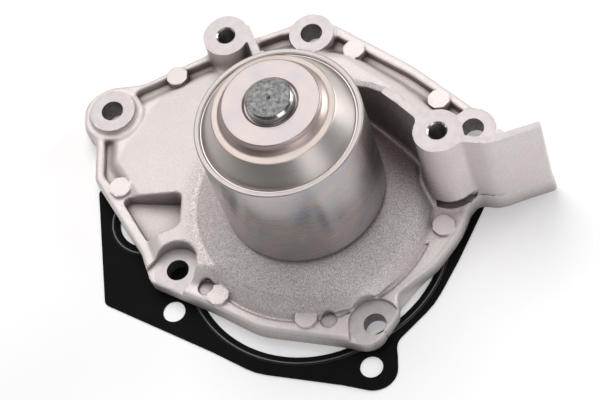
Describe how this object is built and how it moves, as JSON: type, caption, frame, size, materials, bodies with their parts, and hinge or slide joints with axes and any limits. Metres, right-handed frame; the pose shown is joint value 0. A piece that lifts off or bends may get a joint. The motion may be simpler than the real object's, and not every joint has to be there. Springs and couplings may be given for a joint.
{
  "type": "water pump",
  "caption": "Belt-driven coolant pump: cast flanged housing with a belt guard, smooth pulley on a bearing shaft, impeller, face seal and gasket.",
  "frame": {"origin": "on the shaft axis, at the middle of the belt surface's length, 45.5 mm in front of the housing's mounting face", "axes": "+Z along the shaft, away from the engine; +X along the flange towards the belt guard plate; +Y towards the flange's threaded short post side"},
  "size_m": [0.1773, 0.1555, 0.0861],
  "materials": {
    "casting": "as cast, shot-blasted",
    "pulley_steel": "drawn, smooth satin",
    "hub_steel": "fine turned",
    "bearing_steel": "ground",
    "stamped_steel": "pressed sheet",
    "cage_plastic": "moulded",
    "black_rubber": "matte",
    "cup_metal": "pressed, lacquered",
    "carbon": "lapped",
    "ceramic": "lapped",
    "gasket_sheet": "black rubber coat on steel sheet"
  },
  "bodies": {
    "housing": {"pump_housing": "casting", "bearing_outer_ring": "bearing_steel", "bearing_front_seal": "black_rubber", "bearing_rear_seal": "black_rubber", "seal_cup": "cup_metal", "seal_bellows": "black_rubber", "seal_spring": "stamped_steel"},
    "rotor": {"shaft": "bearing_steel", "pulley_drum": "pulley_steel", "pulley_hub": "hub_steel", "impeller": "stamped_steel", "seal_counter_ring": "ceramic", "seal_sleeve": "stamped_steel", "slinger": "black_rubber"},
    "ball_set": {"bearing_balls": "bearing_steel", "bearing_ball_cage": "cage_plastic"},
    "roller_set": {"bearing_rollers": "bearing_steel", "bearing_roller_cage": "cage_plastic"},
    "seal_face": {"seal_carbon_ring": "carbon", "seal_spring_seat": "stamped_steel"},
    "loose_gasket": {"gasket": "gasket_sheet"}
  },
  "joints": [
    {"name": "shaft_spin", "type": "hinge", "parent": "housing", "child": "rotor", "pos_m": [0, 0, 0], "axis": [0, 0, 1], "continuous": true},
    {"name": "ball_set_spin", "type": "hinge", "parent": "housing", "child": "ball_set", "pos_m": [0, 0, -0.0075], "axis": [0, 0, 1], "continuous": true},
    {"name": "roller_set_spin", "type": "hinge", "parent": "housing", "child": "roller_set", "pos_m": [0, 0, 0.0125], "axis": [0, 0, 1], "continuous": true},
    {"name": "seal_face_slide", "type": "slide", "parent": "housing", "child": "seal_face", "axis": [0, 0, 1], "range_m": [0, 0.0008], "deforming": ["seal_spring", "seal_bellows"]},
    {"name": "gasket_slide", "type": "slide", "parent": "housing", "child": "loose_gasket", "axis": [0.1891, 0.982, 0], "range_m": [0, 0.01375]}
  ],
  "couplings": [
    {"joint": "ball_set_spin", "follows": "shaft_spin", "ratio": 0.365},
    {"joint": "roller_set_spin", "follows": "shaft_spin", "ratio": 0.3955}
  ]
}
